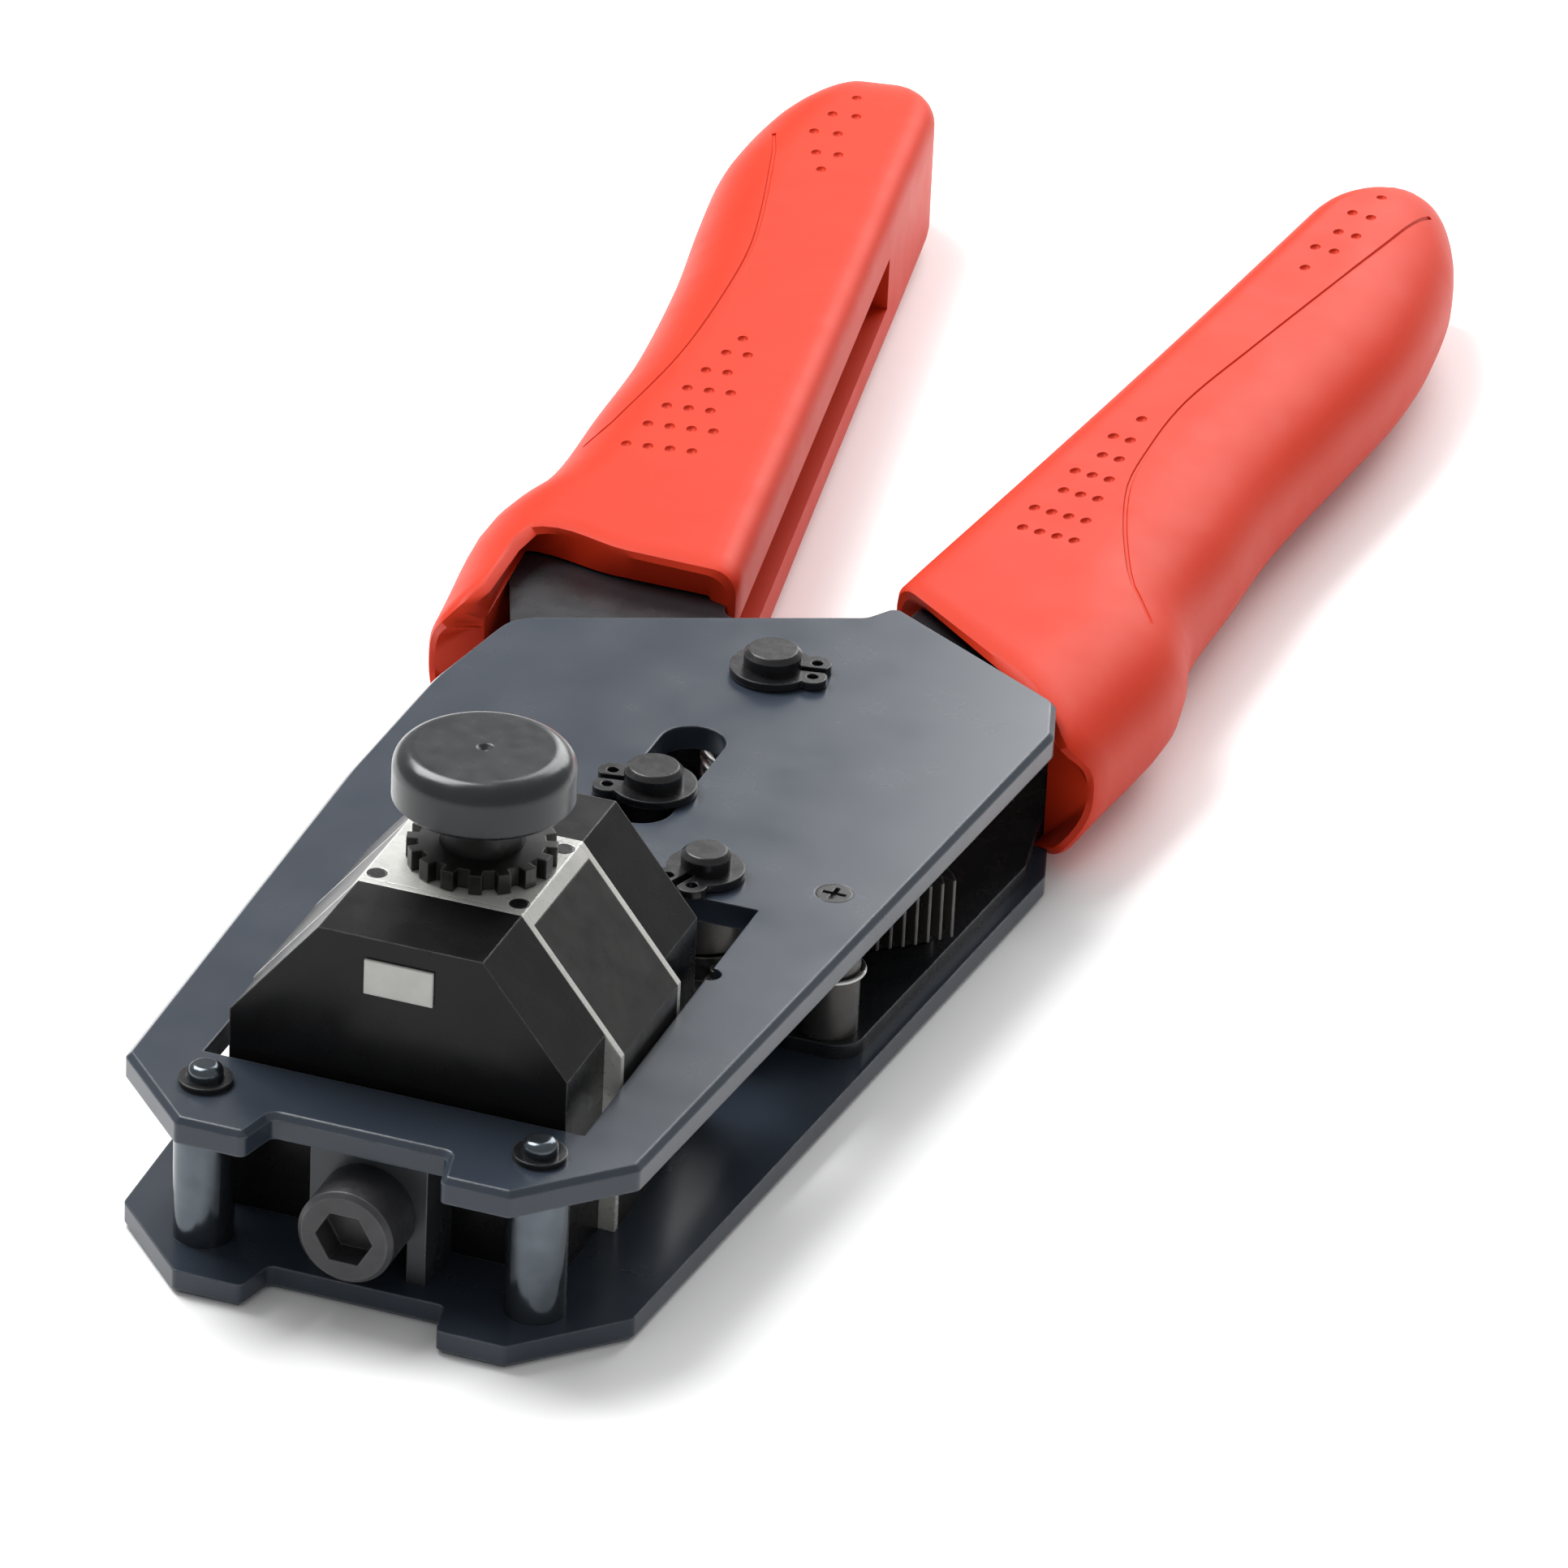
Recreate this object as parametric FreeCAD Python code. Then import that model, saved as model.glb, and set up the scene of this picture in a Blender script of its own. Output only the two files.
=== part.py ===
import FreeCAD, Part
import math
import os

# Hand crimping tool for eight-way modular plugs, in millimetres.
# Working frame: X across the tool, +Y from the nose to the grips, Z up.
# Z is 0 halfway between the side plates.
# Everything is moved at the end so that the origin is at the bottom centre of the bounding box.

V = FreeCAD.Vector
UP = V(0, 0, 1)

# ---- Clearances ----
running_fit = 0.05
sliding_gap = 0.3
layer_gap = 0.15

# ---- Side plates ----
plate_thickness = 2.6
plate_gap = 13.9
plate_bevel = 0.6
nose_front_half = 16.7
nose_half = 25.9
nose_chamfer_length = 9.5
notch_half = 9.8
notch_taper = 1.0
notch_depth = 4.5
left_waist = (28.2, 70.0)
left_shoulder = (28.0, 92.0)
left_rear_corner = (25.8, 107.8)
rear_step = (7.7, 123.2)
rear_peak = (9.9, 126.9)
right_rear_corner = (31.9, 113.5)
right_shoulder = (34.0, 106.5)

# ---- Nest: the blocks that hold the plug, standing out of a window in the top plate ----
window_half = 19.2
window_front = 12.6
window_rear = 59.8
nest_front = 13.5
front_block_length = 9.8
guide_plate_thickness = 0.8
die_length = 14.3
rear_block_length = 8.8
nest_top = 25.0
nest_top_half = 8.25
nest_slope = 1.231
outer_block_half = 17.0
die_half = 18.7
detent_plate_thickness = 1.2

# ---- Plug cavity, open at the bottom ----
cavity_width = 11.9
cavity_depth = 8.5
cavity_ceiling = 11.3
cavity_front_wall = 2.2
blade_wall = 1.5
cavity_lead_in = 0.9

# ---- Crimping punches ----
blade_count = 8
blade_pitch = 1.02
blade_thickness = 0.4
blade_low = 4.0
blade_high = 10.0
relief_half = 3.0
relief_low = -4.5
relief_high = -2.5
holder_half = 5.9
holder_rear = 52.0
tongue_half = 2.5
tongue_length = 6.0
punch_pin_radius = 1.5
punch_seat_depth = 4.0

# ---- Main pivot, crank and toggle ----
pivot_x = 3.4
pivot_y = 107.0
ram_x = 1.2
toggle_rest_y = 78.4
crank_radius = 14.0
crank_angle = 55.0
handle_travel = 14.5
slot_rear_y = 89.7
slot_front_margin = 0.6
ram_half = 5.3
ear_reach = 5.0
link_half_thickness = 3.0
link_eye_radius = 5.5
crank_eye_share = 0.785
crank_pin_share = 0.43
open_pivot_clearance = 0.35

# ---- Pins ----
main_pin_radius = 3.3
main_pin_tip_radius = 3.0
pawl_pin_radius = 2.8
pawl_pin_tip_radius = 2.5
pin_standout = 2.9
pin_head_thickness = 1.2
pin_head_rim = 1.5
clip_thickness = 0.8
clip_band = 1.7
clip_lug = 2.0
bush_wall = 1.65

# ---- Return spring, wound round the pivot bush ----
coil_wire = 0.7
coil_clearance = 0.6
coil_pitch = 1.5
whole_turns = 2
leg_overrun = 6.0

# ---- Levers ----
moving_cheek = 2.0
fixed_cheek = 1.6
web_thickness = 2.0
lever_inner = 3.2
moving_lever_end = 120.0
fixed_lever_end = 106.0

# ---- Handles: each has its own line, leaning away from +Y ----
right_root = (7.9, 134.0)
right_lean = 6.1
left_root = (-8.8, 134.0)
left_lean = 9.5
grip_half_thickness = 9.3
grip_edge_round = 2.6
slot_reach = 87.0
slot_half_height = 3.2
seat_along = 28.0
seat_across = 9.0
seat_pin_radius = 1.5

# ---- Ratchet ----
rack_inner_radius = 27.0
rack_root_radius = 34.5
rack_tip_radius = 36.0
rack_from = 38.0
rack_to = 62.0
rack_teeth = 11
rack_rivet_radius = 1.5
rack_rivet_orbit = 30.5
rack_rivet_angles = (44.0, 56.0)
pawl_x = 12.0
pawl_y = 64.3
pawl_half_thickness = 2.8
pawl_eye_radius = 4.6
pawl_contact_angle = 58.0
pawl_tip_gap = 0.4
pawl_tail = (3.8, -5.6)
pawl_stud_radius = 0.9
spring_post_x = 24.8
spring_post_y = 66.0
spring_post_radius = 3.0
post_screw_radius = 1.0
post_screw_head = 1.9
post_screw_bite = 3.0
cross_reach = 1.2
cross_width = 0.5
cross_depth = 0.5

# ---- Nose ----
front_post_x = 16.8
front_post_y = 7.4
front_post_radius = 2.95
front_post_end_radius = 1.7
front_post_standout = 2.0
post_ring_band = 0.9
post_ring_thickness = 0.6
nose_block_half = 5.9
nose_slot_half = 4.0
nose_slot_top = 3.6
nose_slot_corner = 1.6
clamp_screw_radius = 3.0
clamp_head_radius = 4.8
clamp_head_length = 6.0
clamp_head_front = 1.0
clamp_hex_across = 5.0
clamp_hex_depth = 3.0
clamp_screw_reach = 7.0

# ---- Knob and detent ----
spindle_x = 0.8
spindle_y = 32.0
spindle_radius = 4.0
spindle_flange_radius = 5.2
spindle_flange_thickness = 1.2
wheel_tip_radius = 7.2
wheel_root_radius = 6.1
wheel_teeth = 16
wheel_thickness = 2.0
wheel_lift = 0.1
knob_radius = 8.75
knob_bottom = 31.5
knob_height = 5.5
knob_round = 2.1
knob_bore_radius = 3.0
knob_bore_depth = 4.0
grub_radius = 1.25
detent_ball_radius = 0.8
detent_orbit = 6.6

# ---- Nest screws, from below ----
nest_screw_x = 12.0
nest_screw_radius = 1.5
nest_screw_head = 2.9
nest_screw_reach = 6.0

# ---- Blank label on the front block ----
label_width = 6.9
label_height = 3.6
label_thickness = 0.3
label_middle_z = 21.0

# ---- Worked-out levels and places ----
plate_inner = plate_gap / 2
plate_outer = plate_inner + plate_thickness
moving_outer = lever_inner + moving_cheek
fixed_inner = moving_outer + layer_gap
front_block_end = nest_front + front_block_length
die_front = front_block_end + guide_plate_thickness
die_end = die_front + die_length
rear_block_front = die_end + guide_plate_thickness
nest_end = rear_block_front + rear_block_length
cavity_front = die_front + cavity_front_wall
cavity_rear = cavity_front + cavity_depth
channel_front = cavity_rear + blade_wall
pin_top = plate_outer + pin_standout
bush_inner = main_pin_radius + running_fit
bush_outer = bush_inner + bush_wall
coil_radius = bush_outer + coil_clearance + coil_wire
crank_room = crank_radius - coil_radius - coil_wire
crank_eye_radius = crank_eye_share * crank_room
crank_pin_radius = crank_pin_share * crank_room
nose_block_front = clamp_head_front + clamp_head_length


# ---- Shared shapes ----
def box(x0, x1, y0, y1, z0, z1):
    return Part.makeBox(x1 - x0, y1 - y0, z1 - z0, V(x0, y0, z0))


def disc(x, y, radius, z0, z1):
    return Part.makeCylinder(radius, z1 - z0, V(x, y, z0), UP)


def rounded_wire(corners):
    """Closed wire through (x, y, radius) corners, each corner rounded by its radius."""
    arcs = []
    for i, (x, y, radius) in enumerate(corners):
        here = V(x, y, 0)
        before = V(corners[i - 1][0], corners[i - 1][1], 0) - here
        after = V(corners[(i + 1) % len(corners)][0], corners[(i + 1) % len(corners)][1], 0) - here
        before.normalize()
        after.normalize()
        half = before.getAngle(after) / 2
        setback = radius / math.tan(half)
        middle = (before + after).normalize() * (radius / math.sin(half) - radius)
        arcs.append((here + before * setback, here + middle, here + after * setback, radius))
    edges = []
    for i, (start, middle, end, radius) in enumerate(arcs):
        if radius > 0:
            edges.append(Part.Arc(start, middle, end).toShape())
        following = arcs[(i + 1) % len(arcs)][0]
        if end.distanceToPoint(following) > 1e-6:
            edges.append(Part.makeLine(end, following))
    return Part.Wire(edges)


def prism(corners, z0, z1):
    """Upright plate with the outline given as (x, y) or (x, y, radius) corners."""
    full = [(c[0], c[1], c[2] if len(c) > 2 else 0) for c in corners]
    solid = Part.Face(rounded_wire(full)).extrude(V(0, 0, z1 - z0))
    return solid.translate(V(0, 0, z0))


def both_levels(corners, z0, z1):
    """The same plate above and below the middle."""
    return [prism(corners, z0, z1), prism(corners, -z1, -z0)]


def joined(shapes):
    result = shapes[0].fuse(shapes[1:]) if len(shapes) > 1 else shapes[0]
    return result.removeSplitter()


def without(shape, cutters):
    return shape.cut(cutters).removeSplitter()


def polar(centre, radius, degrees_below):
    """Point at a radius from centre, at an angle turned from +X towards the nose."""
    angle = math.radians(degrees_below)
    return (centre[0] + radius * math.cos(angle), centre[1] - radius * math.sin(angle))


def edges_at(shape, level):
    """Edges that lie flat at one height."""
    return [e for e in shape.Edges if all(abs(v.Z - level) < 1e-6 for v in e.Vertexes)]


def countersunk_screw(x, y, face_z, direction, shank, head, length):
    """Flat-headed screw whose head is flush with face_z and whose shank runs along direction."""
    cone = head - shank
    axis = V(0, 0, direction)
    top = Part.makeCone(head, shank, cone, V(x, y, face_z), axis)
    body = Part.makeCylinder(shank, length, V(x, y, face_z), axis)
    return joined([top, body])


def snap_ring(x, y, shaft_radius, z0, lug_degrees):
    """External retaining ring with a gap between two pierced lugs."""
    outer = shaft_radius + clip_band
    ring = disc(0, 0, outer, z0, z0 + clip_thickness)
    lugs = [disc(outer, side * 1.5, clip_lug * 0.75, z0, z0 + clip_thickness) for side in (-1, 1)]
    ring = joined([ring] + lugs)
    holes = [disc(outer, side * 1.5, clip_lug * 0.3, z0, z0 + clip_thickness) for side in (-1, 1)]
    gap = box(0, outer + 2 * clip_lug, -0.5, 0.5, z0, z0 + clip_thickness)
    ring = without(ring, [disc(0, 0, shaft_radius, z0, z0 + clip_thickness), gap] + holes)
    ring.rotate(V(0, 0, 0), UP, lug_degrees)
    return ring.translate(V(x, y, 0))


def ringed_pin(x, y, radius, tip_radius, bottom, groove):
    """Pin with a grooved upper end for a retaining ring and a chamfered tip."""
    body = disc(x, y, radius, bottom, groove)
    neck = disc(x, y, tip_radius - 0.3, groove, groove + clip_thickness)
    tip = disc(x, y, tip_radius, groove + clip_thickness, pin_top)
    tip = tip.makeChamfer(0.5, edges_at(tip, pin_top))
    return joined([body, neck, tip])


nodes = {}

# ---- Mechanism points ----
pivot = (pivot_x, pivot_y)
crank = polar(pivot, crank_radius, crank_angle)
crank_closed = polar(pivot, crank_radius, crank_angle + handle_travel)
toggle = (ram_x, toggle_rest_y)
link_length = math.hypot(crank[0] - toggle[0], crank[1] - toggle[1])
closed_drop = math.sqrt(link_length ** 2 - (crank_closed[0] - ram_x) ** 2)
stroke = toggle_rest_y - (crank_closed[1] - closed_drop)
spring_post_at = (spring_post_x, spring_post_y)

# ---- Side plates ----
plate_corners = [
    (-nose_front_half, 0, 0.8),
    (-notch_half, 0, 0.8),
    (-notch_half + notch_taper, notch_depth, 0.8),
    (notch_half - notch_taper, notch_depth, 0.8),
    (notch_half, 0, 0.8),
    (nose_front_half, 0, 0.8),
    (nose_half, nose_chamfer_length, 1.0),
    (right_shoulder[0], right_shoulder[1], 2.5),
    (right_rear_corner[0], right_rear_corner[1], 2.0),
    (rear_peak[0], rear_peak[1], 1.5),
    (rear_step[0], rear_step[1], 1.5),
    (-left_rear_corner[0], left_rear_corner[1], 5.0),
    (-left_shoulder[0], left_shoulder[1], 30.0),
    (-left_waist[0], left_waist[1], 60.0),
    (-nose_half, nose_chamfer_length, 1.0),
]
slot_half = main_pin_radius + running_fit + 0.03
slot_front_y = toggle_rest_y - stroke - slot_front_margin
toggle_slot = joined([
    disc(ram_x, slot_front_y, slot_half, -plate_outer, plate_outer),
    disc(ram_x, slot_rear_y, slot_half, -plate_outer, plate_outer),
    box(ram_x - slot_half, ram_x + slot_half, slot_front_y, slot_rear_y, -plate_outer, plate_outer),
])
shared_holes = [
    toggle_slot,
    disc(pivot_x, pivot_y, main_pin_radius, -plate_outer, plate_outer),
    disc(pawl_x, pawl_y, pawl_pin_radius, -plate_outer, plate_outer),
]
for side in (-1, 1):
    shared_holes.append(disc(side * front_post_x, front_post_y, front_post_end_radius, -plate_outer,
                             plate_outer))

post_screws = [
    countersunk_screw(spring_post_x, spring_post_y, side * plate_outer, -side, post_screw_radius,
                      post_screw_head, plate_outer - fixed_inner + post_screw_bite)
    for side in (-1, 1)
]
nest_rows = (
    nest_front + front_block_length / 2,
    die_front + die_length / 2,
    rear_block_front + rear_block_length / 2,
)
nest_screws = [
    countersunk_screw(side * nest_screw_x, row, -plate_outer, 1, nest_screw_radius, nest_screw_head,
                      plate_thickness + nest_screw_reach)
    for side in (-1, 1) for row in nest_rows
]

top_blank = prism(plate_corners, plate_inner, plate_outer)
top_blank = top_blank.makeChamfer(plate_bevel, edges_at(top_blank, plate_outer))
window_notch = disc(window_half, 46.0, 1.2, plate_inner, plate_outer)
window = box(-window_half, window_half, window_front, window_rear, plate_inner, plate_outer)
nodes["top_side_plate"] = without(top_blank, shared_holes + [window, window_notch] + post_screws)

bottom_blank = prism(plate_corners, -plate_outer, -plate_inner)
bottom_blank = bottom_blank.makeChamfer(plate_bevel, edges_at(bottom_blank, -plate_outer))
plug_door = box(-cavity_width / 2 - cavity_lead_in, cavity_width / 2 + cavity_lead_in,
                cavity_front - cavity_lead_in, cavity_rear + cavity_lead_in, -plate_outer, -plate_inner)
head_seats = [
    disc(pivot_x, pivot_y, main_pin_radius + pin_head_rim, -plate_outer, -plate_outer + pin_head_thickness),
    disc(pawl_x, pawl_y, pawl_pin_radius + pin_head_rim, -plate_outer, -plate_outer + pin_head_thickness),
]
bottom_cuts = shared_holes + [plug_door] + head_seats + post_screws + nest_screws
nodes["bottom_side_plate"] = without(bottom_blank, bottom_cuts)

# ---- Main pivot pin, pawl pin and their rings ----
ring_seat = plate_outer + 0.2
main_pin = ringed_pin(pivot_x, pivot_y, main_pin_radius, main_pin_tip_radius, -plate_outer, ring_seat)
nodes["main_pivot_pin"] = joined([main_pin, head_seats[0]])
nodes["main_pivot_ring"] = snap_ring(pivot_x, pivot_y, main_pin_tip_radius - 0.3, ring_seat, 10)
pawl_pin = ringed_pin(pawl_x, pawl_y, pawl_pin_radius, pawl_pin_tip_radius, -plate_outer, ring_seat)
nodes["pawl_pin"] = joined([pawl_pin, head_seats[1]])
nodes["pawl_pin_ring"] = snap_ring(pawl_x, pawl_y, pawl_pin_tip_radius - 0.3, ring_seat, 250)
nodes["pawl_spacers"] = Part.makeCompound([
    without(disc(pawl_x, pawl_y, pawl_eye_radius, low, low + plate_inner - lever_inner),
            [disc(pawl_x, pawl_y, pawl_pin_radius, -plate_inner, plate_inner)])
    for low in (lever_inner, -plate_inner)
])

# ---- Front posts between the plates ----
for name, side in (("front_post_left", -1), ("front_post_right", 1)):
    post_x = side * front_post_x
    end_top = plate_outer + front_post_standout
    tip = disc(post_x, front_post_y, front_post_end_radius, -plate_outer, end_top)
    tip = tip.makeFillet(0.8, edges_at(tip, end_top))
    spacer = disc(post_x, front_post_y, front_post_radius, -plate_inner, plate_inner)
    nodes[name] = joined([tip, spacer])
ring_radius = front_post_end_radius + post_ring_band
nodes["front_post_rings"] = Part.makeCompound([
    without(disc(x, front_post_y, ring_radius, plate_outer, plate_outer + post_ring_thickness),
            [disc(x, front_post_y, front_post_end_radius, plate_outer, plate_outer + post_ring_thickness)])
    for x in (-front_post_x, front_post_x)
])

# ---- Spring post, held by a small screw through each plate ----
post = disc(spring_post_x, spring_post_y, spring_post_radius, -fixed_inner, fixed_inner)
nodes["spring_post"] = without(post, post_screws)


def cross_slot(x, y, low):
    """Cross recess for a screwdriver."""
    narrow = cross_width / 2
    return [
        box(x - cross_reach, x + cross_reach, y - narrow, y + narrow, low, low + cross_depth),
        box(x - narrow, x + narrow, y - cross_reach, y + cross_reach, low, low + cross_depth),
    ]


nodes["spring_post_screws"] = Part.makeCompound([
    without(screw, cross_slot(spring_post_x, spring_post_y, low))
    for screw, low in zip(post_screws, (-plate_outer, plate_outer - cross_depth))
])

# ---- Nose block and clamp screw ----
nose_block = box(-nose_block_half, nose_block_half, nose_block_front, nest_front, -plate_inner, plate_inner)
slot_shoulder = nose_slot_half - nose_slot_corner
slot_profile = [
    V(-nose_slot_half, nose_block_front, -plate_inner),
    V(nose_slot_half, nose_block_front, -plate_inner),
    V(nose_slot_half, nose_block_front, nose_slot_top - nose_slot_corner),
    V(slot_shoulder, nose_block_front, nose_slot_top),
    V(-slot_shoulder, nose_block_front, nose_slot_top),
    V(-nose_slot_half, nose_block_front, nose_slot_top - nose_slot_corner),
]
slot_face = Part.Face(Part.makePolygon(slot_profile + slot_profile[:1]))
nodes["nose_block"] = without(nose_block, [slot_face.extrude(V(0, nest_front - nose_block_front, 0))])

head = Part.makeCylinder(clamp_head_radius, clamp_head_length, V(0, clamp_head_front, 0), V(0, 1, 0))
rim = [e for e in head.Edges if all(abs(v.Y - clamp_head_front) < 1e-6 for v in e.Vertexes)]
head = head.makeChamfer(0.5, rim)
shank_length = nest_front + clamp_screw_reach - nose_block_front
shank = Part.makeCylinder(clamp_screw_radius, shank_length, V(0, nose_block_front, 0), V(0, 1, 0))
hex_corner = clamp_hex_across / math.sqrt(3)
hex_angles = [math.radians(60 * i) for i in range(7)]
hex_points = [V(hex_corner * math.cos(a), clamp_head_front, hex_corner * math.sin(a)) for a in hex_angles]
socket = Part.Face(Part.makePolygon(hex_points)).extrude(V(0, clamp_hex_depth, 0))
nodes["die_clamp_screw"] = without(joined([head, shank]), [socket])


# ---- Nest blocks ----
def nest_section(half, top, base):
    """Outline across the tool: narrow flat top, sloping shoulders and upright sides."""
    top_half = nest_top_half + (nest_top - top) / nest_slope
    shoulder = nest_top - (half - nest_top_half) * nest_slope
    right = [(half, base), (half, shoulder), (top_half, top)]
    return [(-x, z) for x, z in right] + [(x, z) for x, z in reversed(right)]


def nest_block(half, top, base, y0, y1):
    points = [V(x, y0, z) for x, z in nest_section(half, top, base)]
    return Part.Face(Part.makePolygon(points + points[:1])).extrude(V(0, y1 - y0, 0))


front_block = nest_block(outer_block_half, nest_top, -plate_inner, nest_front, front_block_end)
clamp_thread = Part.makeCylinder(clamp_screw_radius, clamp_screw_reach, V(0, nest_front, 0), V(0, 1, 0))
nodes["front_nest_block"] = without(front_block, [clamp_thread] + nest_screws)
nodes["front_guide_plate"] = nest_block(die_half, nest_top, -plate_inner, front_block_end, die_front)

spindle_bottom = cavity_ceiling + 0.15
flange_low = nest_top - detent_plate_thickness - spindle_flange_thickness
flange_seat = disc(spindle_x, spindle_y, spindle_flange_radius + running_fit, flange_low - running_fit,
                   nest_top - detent_plate_thickness)
spindle_bore = disc(spindle_x, spindle_y, spindle_radius + running_fit, cavity_ceiling, nest_top)
cavity = box(-cavity_width / 2, cavity_width / 2, cavity_front, cavity_rear, -plate_inner, cavity_ceiling)
punch_channel_half = holder_half + sliding_gap
channel = box(-punch_channel_half, punch_channel_half, channel_front, nest_end, -plate_inner, cavity_ceiling)
blade_span = (blade_count - 1) * blade_pitch / 2 + blade_thickness / 2
blade_window = box(-blade_span - sliding_gap, blade_span + sliding_gap, cavity_rear, channel_front,
                   blade_low - sliding_gap, blade_high + sliding_gap)
relief_window = box(-relief_half - sliding_gap, relief_half + sliding_gap, cavity_rear, channel_front,
                    relief_low - sliding_gap, relief_high + sliding_gap)
ball_x = spindle_x - detent_orbit
ball_hole_bottom = nest_top - 5.0
ball_hole = disc(ball_x, spindle_y, detent_ball_radius + running_fit, ball_hole_bottom, nest_top)
plate_screw_spots = [(sx * 7.2, y) for sx in (-1, 1) for y in (die_front + 1.3, die_end - 1.3)]
plate_screws = [countersunk_screw(x, y, nest_top, -1, 0.6, 1.0, 4.0) for x, y in plate_screw_spots]
die = nest_block(die_half, nest_top - detent_plate_thickness, -plate_inner, die_front, die_end)
die_cuts = [cavity, channel, blade_window, relief_window, spindle_bore, flange_seat, ball_hole]
nodes["die_body"] = without(die, die_cuts + nest_screws + plate_screws)
detent_section = [
    (-nest_top_half - detent_plate_thickness / nest_slope, nest_top - detent_plate_thickness),
    (-nest_top_half, nest_top),
    (nest_top_half, nest_top),
    (nest_top_half + detent_plate_thickness / nest_slope, nest_top - detent_plate_thickness),
]
detent_points = [V(x, die_front, z) for x, z in detent_section]
detent_plate = Part.Face(Part.makePolygon(detent_points + detent_points[:1])).extrude(V(0, die_length, 0))
nodes["detent_plate"] = without(detent_plate, [spindle_bore, ball_hole] + plate_screws)
nodes["detent_plate_screws"] = Part.makeCompound(plate_screws)
guide_rear = nest_block(die_half, nest_top, -plate_inner, die_end, rear_block_front)
nodes["rear_guide_plate"] = without(guide_rear, [channel])
rear_block = nest_block(outer_block_half, nest_top, -plate_inner, rear_block_front, nest_end)
nodes["rear_nest_block"] = without(rear_block, [channel] + nest_screws)
nodes["nest_screws"] = Part.makeCompound([
    without(screw, cross_slot(screw.BoundBox.Center.x, screw.BoundBox.Center.y, -plate_outer))
    for screw in nest_screws
])
nodes["blank_label"] = box(-label_width / 2, label_width / 2, nest_front - label_thickness, nest_front,
                           label_middle_z - label_height / 2, label_middle_z + label_height / 2)

# ---- Knob, spindle, detent wheel, ball and spring ----
knob_top = knob_bottom + knob_height
wheel_low = nest_top + wheel_lift
spindle = disc(spindle_x, spindle_y, spindle_radius, spindle_bottom, knob_bottom)
flange_high = nest_top - detent_plate_thickness - running_fit
spindle_flange = disc(spindle_x, spindle_y, spindle_flange_radius, flange_low, flange_high)
spindle_end = disc(spindle_x, spindle_y, knob_bore_radius, knob_bottom, knob_bottom + knob_bore_depth)
nodes["knob_spindle"] = joined([spindle, spindle_flange, spindle_end])

tooth_step = 360.0 / wheel_teeth
wheel_tooth = (
    (wheel_root_radius, 0.0),
    (wheel_tip_radius, 0.05),
    (wheel_tip_radius, 0.5),
    (wheel_root_radius, 0.55),
)
wheel_corners = []
for tooth in range(wheel_teeth):
    for radius, share in wheel_tooth:
        wheel_corners.append(polar((spindle_x, spindle_y), radius, (tooth + share) * tooth_step))
wheel = prism(wheel_corners, wheel_low, wheel_low + wheel_thickness)
wheel_bore = disc(spindle_x, spindle_y, spindle_radius, wheel_low, wheel_low + wheel_thickness)
nodes["detent_wheel"] = without(wheel, [wheel_bore])

knob = disc(spindle_x, spindle_y, knob_radius, knob_bottom, knob_top)
knob = knob.makeFillet(knob_round, edges_at(knob, knob_top))
knob = knob.makeChamfer(0.5, edges_at(knob, knob_bottom))
grub_z = knob_bottom + knob_height / 2
grub_length = knob_radius - knob_bore_radius - 0.8
grub_start = V(spindle_x, spindle_y + knob_bore_radius, grub_z)
grub = Part.makeCylinder(grub_radius, grub_length, grub_start, V(0, 1, 0))
grub_hole = Part.makeCylinder(grub_radius, knob_radius, grub_start, V(0, 1, 0))
centre_dimple = Part.makeCone(0.2, 0.8, 0.5, V(spindle_x, spindle_y, knob_top - 0.5), UP)
knob_bore = disc(spindle_x, spindle_y, knob_bore_radius, knob_bottom, knob_bottom + knob_bore_depth)
nodes["adjusting_knob"] = without(knob, [knob_bore, grub_hole, centre_dimple])
nodes["knob_grub_screw"] = grub

ball_z = nest_top + wheel_lift - running_fit - detent_ball_radius
ball = Part.makeSphere(detent_ball_radius, V(ball_x, spindle_y, ball_z))
nodes["detent_ball"] = ball


def coil(radius, wire, pitch, turns):
    """Round wire wound on a helix about Z from 0 up, starting on +X."""
    path = Part.makeHelix(pitch, pitch * turns, radius)
    start = Part.Wire(Part.makeCircle(wire, V(radius, 0, 0), V(0, 1, 0)))
    return Part.Wire(path).makePipeShell([start], True, True)


ball_spring_length = ball.BoundBox.ZMin - ball_hole_bottom - 0.4
detent_spring = coil(0.5, 0.13, ball_spring_length / 6, 6)
nodes["detent_spring"] = detent_spring.translate(V(ball_x, spindle_y, ball_hole_bottom + 0.2))

# ---- Ram, punch holder and punches ----
ear_front = toggle_rest_y - link_eye_radius - open_pivot_clearance - 0.4
ear_rear = toggle_rest_y + ear_reach
ram_top = plate_inner - layer_gap
ram = box(ram_x - ram_half, ram_x + ram_half, holder_rear, ear_rear, -ram_top, ram_top)
fork = box(ram_x - ram_half, ram_x + ram_half, ear_front, ear_rear, -lever_inner, lever_inner)
tongue_end = holder_rear + tongue_length
tongue = box(ram_x - tongue_half, ram_x + tongue_half, holder_rear, tongue_end, -ram_top, ram_top)
punch_pin = Part.makeCylinder(punch_pin_radius, 2 * ram_half,
                              V(ram_x - ram_half, holder_rear + tongue_length / 2, 0), V(1, 0, 0))
toggle_hole = disc(ram_x, toggle_rest_y, main_pin_radius, -plate_outer, plate_outer)
nodes["ram_slide"] = without(ram, [fork, tongue, punch_pin, toggle_hole])
nodes["punch_pin"] = punch_pin

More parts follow.
